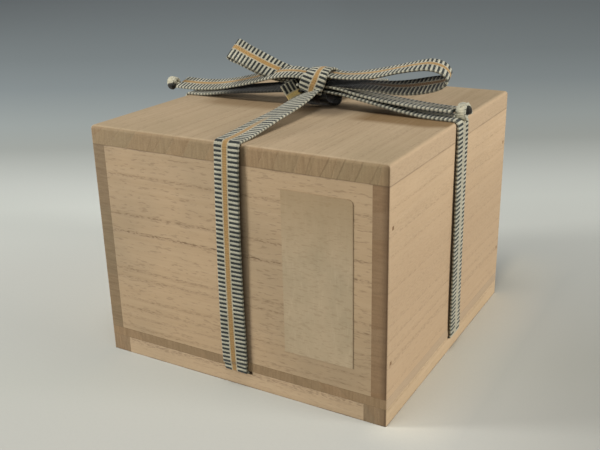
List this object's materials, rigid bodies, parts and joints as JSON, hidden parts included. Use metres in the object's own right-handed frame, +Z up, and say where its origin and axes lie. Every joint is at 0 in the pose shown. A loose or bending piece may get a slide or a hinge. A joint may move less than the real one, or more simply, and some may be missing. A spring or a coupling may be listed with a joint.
{
  "type": "tea bowl box",
  "caption": "Square paulownia storage box with a battened lift-off lid and notched foot frame, tied with a flat woven cord in a bow, holding a glazed tea bowl.",
  "frame": {"origin": "on the ground under the middle of the box", "axes": "+Z up; -Y out of the front with the label; +X to the right of someone facing the front"},
  "size_m": [0.1787, 0.1592, 0.1525],
  "materials": {
    "board_front": "matte",
    "board_side": "matte",
    "board_base": "matte",
    "board_foot": "matte",
    "board_lid": "matte",
    "peg": "matte",
    "label": "matte",
    "cord": "woven",
    "glazed_bowl": "glossy"
  },
  "bodies": {
    "box": {"left_wall": "board_side", "right_wall": "board_side", "front_panel": "board_front", "back_panel": "board_front", "base_board": "board_base", "foot_strip_left": "board_foot", "foot_strip_right": "board_foot", "foot_strip_front": "board_foot", "foot_strip_back": "board_foot", "corner_pegs": "peg", "base_pegs": "peg", "foot_pegs": "peg", "label_paper": "label", "cord_under_front_back": "cord", "cord_under_left_right": "cord"},
    "bowl": {"tea_bowl": "glazed_bowl"},
    "lid": {"lid_board": "board_lid", "lid_batten_left": "board_lid", "lid_batten_right": "board_lid", "lid_batten_front": "board_lid", "lid_batten_back": "board_lid", "batten_pegs": "peg"},
    "cord": {"cord_front": "cord", "cord_back": "cord", "cord_right": "cord", "cord_left": "cord", "bow_knot": "cord", "bow_loop_right": "cord", "bow_loop_left": "cord", "bow_tail_right": "cord", "bow_tail_left": "cord", "tail_knot_right": "cord", "tail_knot_left": "cord"}
  },
  "joints": [
    {"name": "bowl_lift", "type": "slide", "parent": "box", "child": "bowl", "axis": [0, 0, 1], "range_m": [0, 0.11]},
    {"name": "lid_lift", "type": "slide", "parent": "bowl", "child": "lid", "axis": [0, 0, 1], "range_m": [0, 0.1]},
    {"name": "cord_lift", "type": "slide", "parent": "lid", "child": "cord", "axis": [0, 0, 1], "range_m": [0, 0.13]}
  ]
}
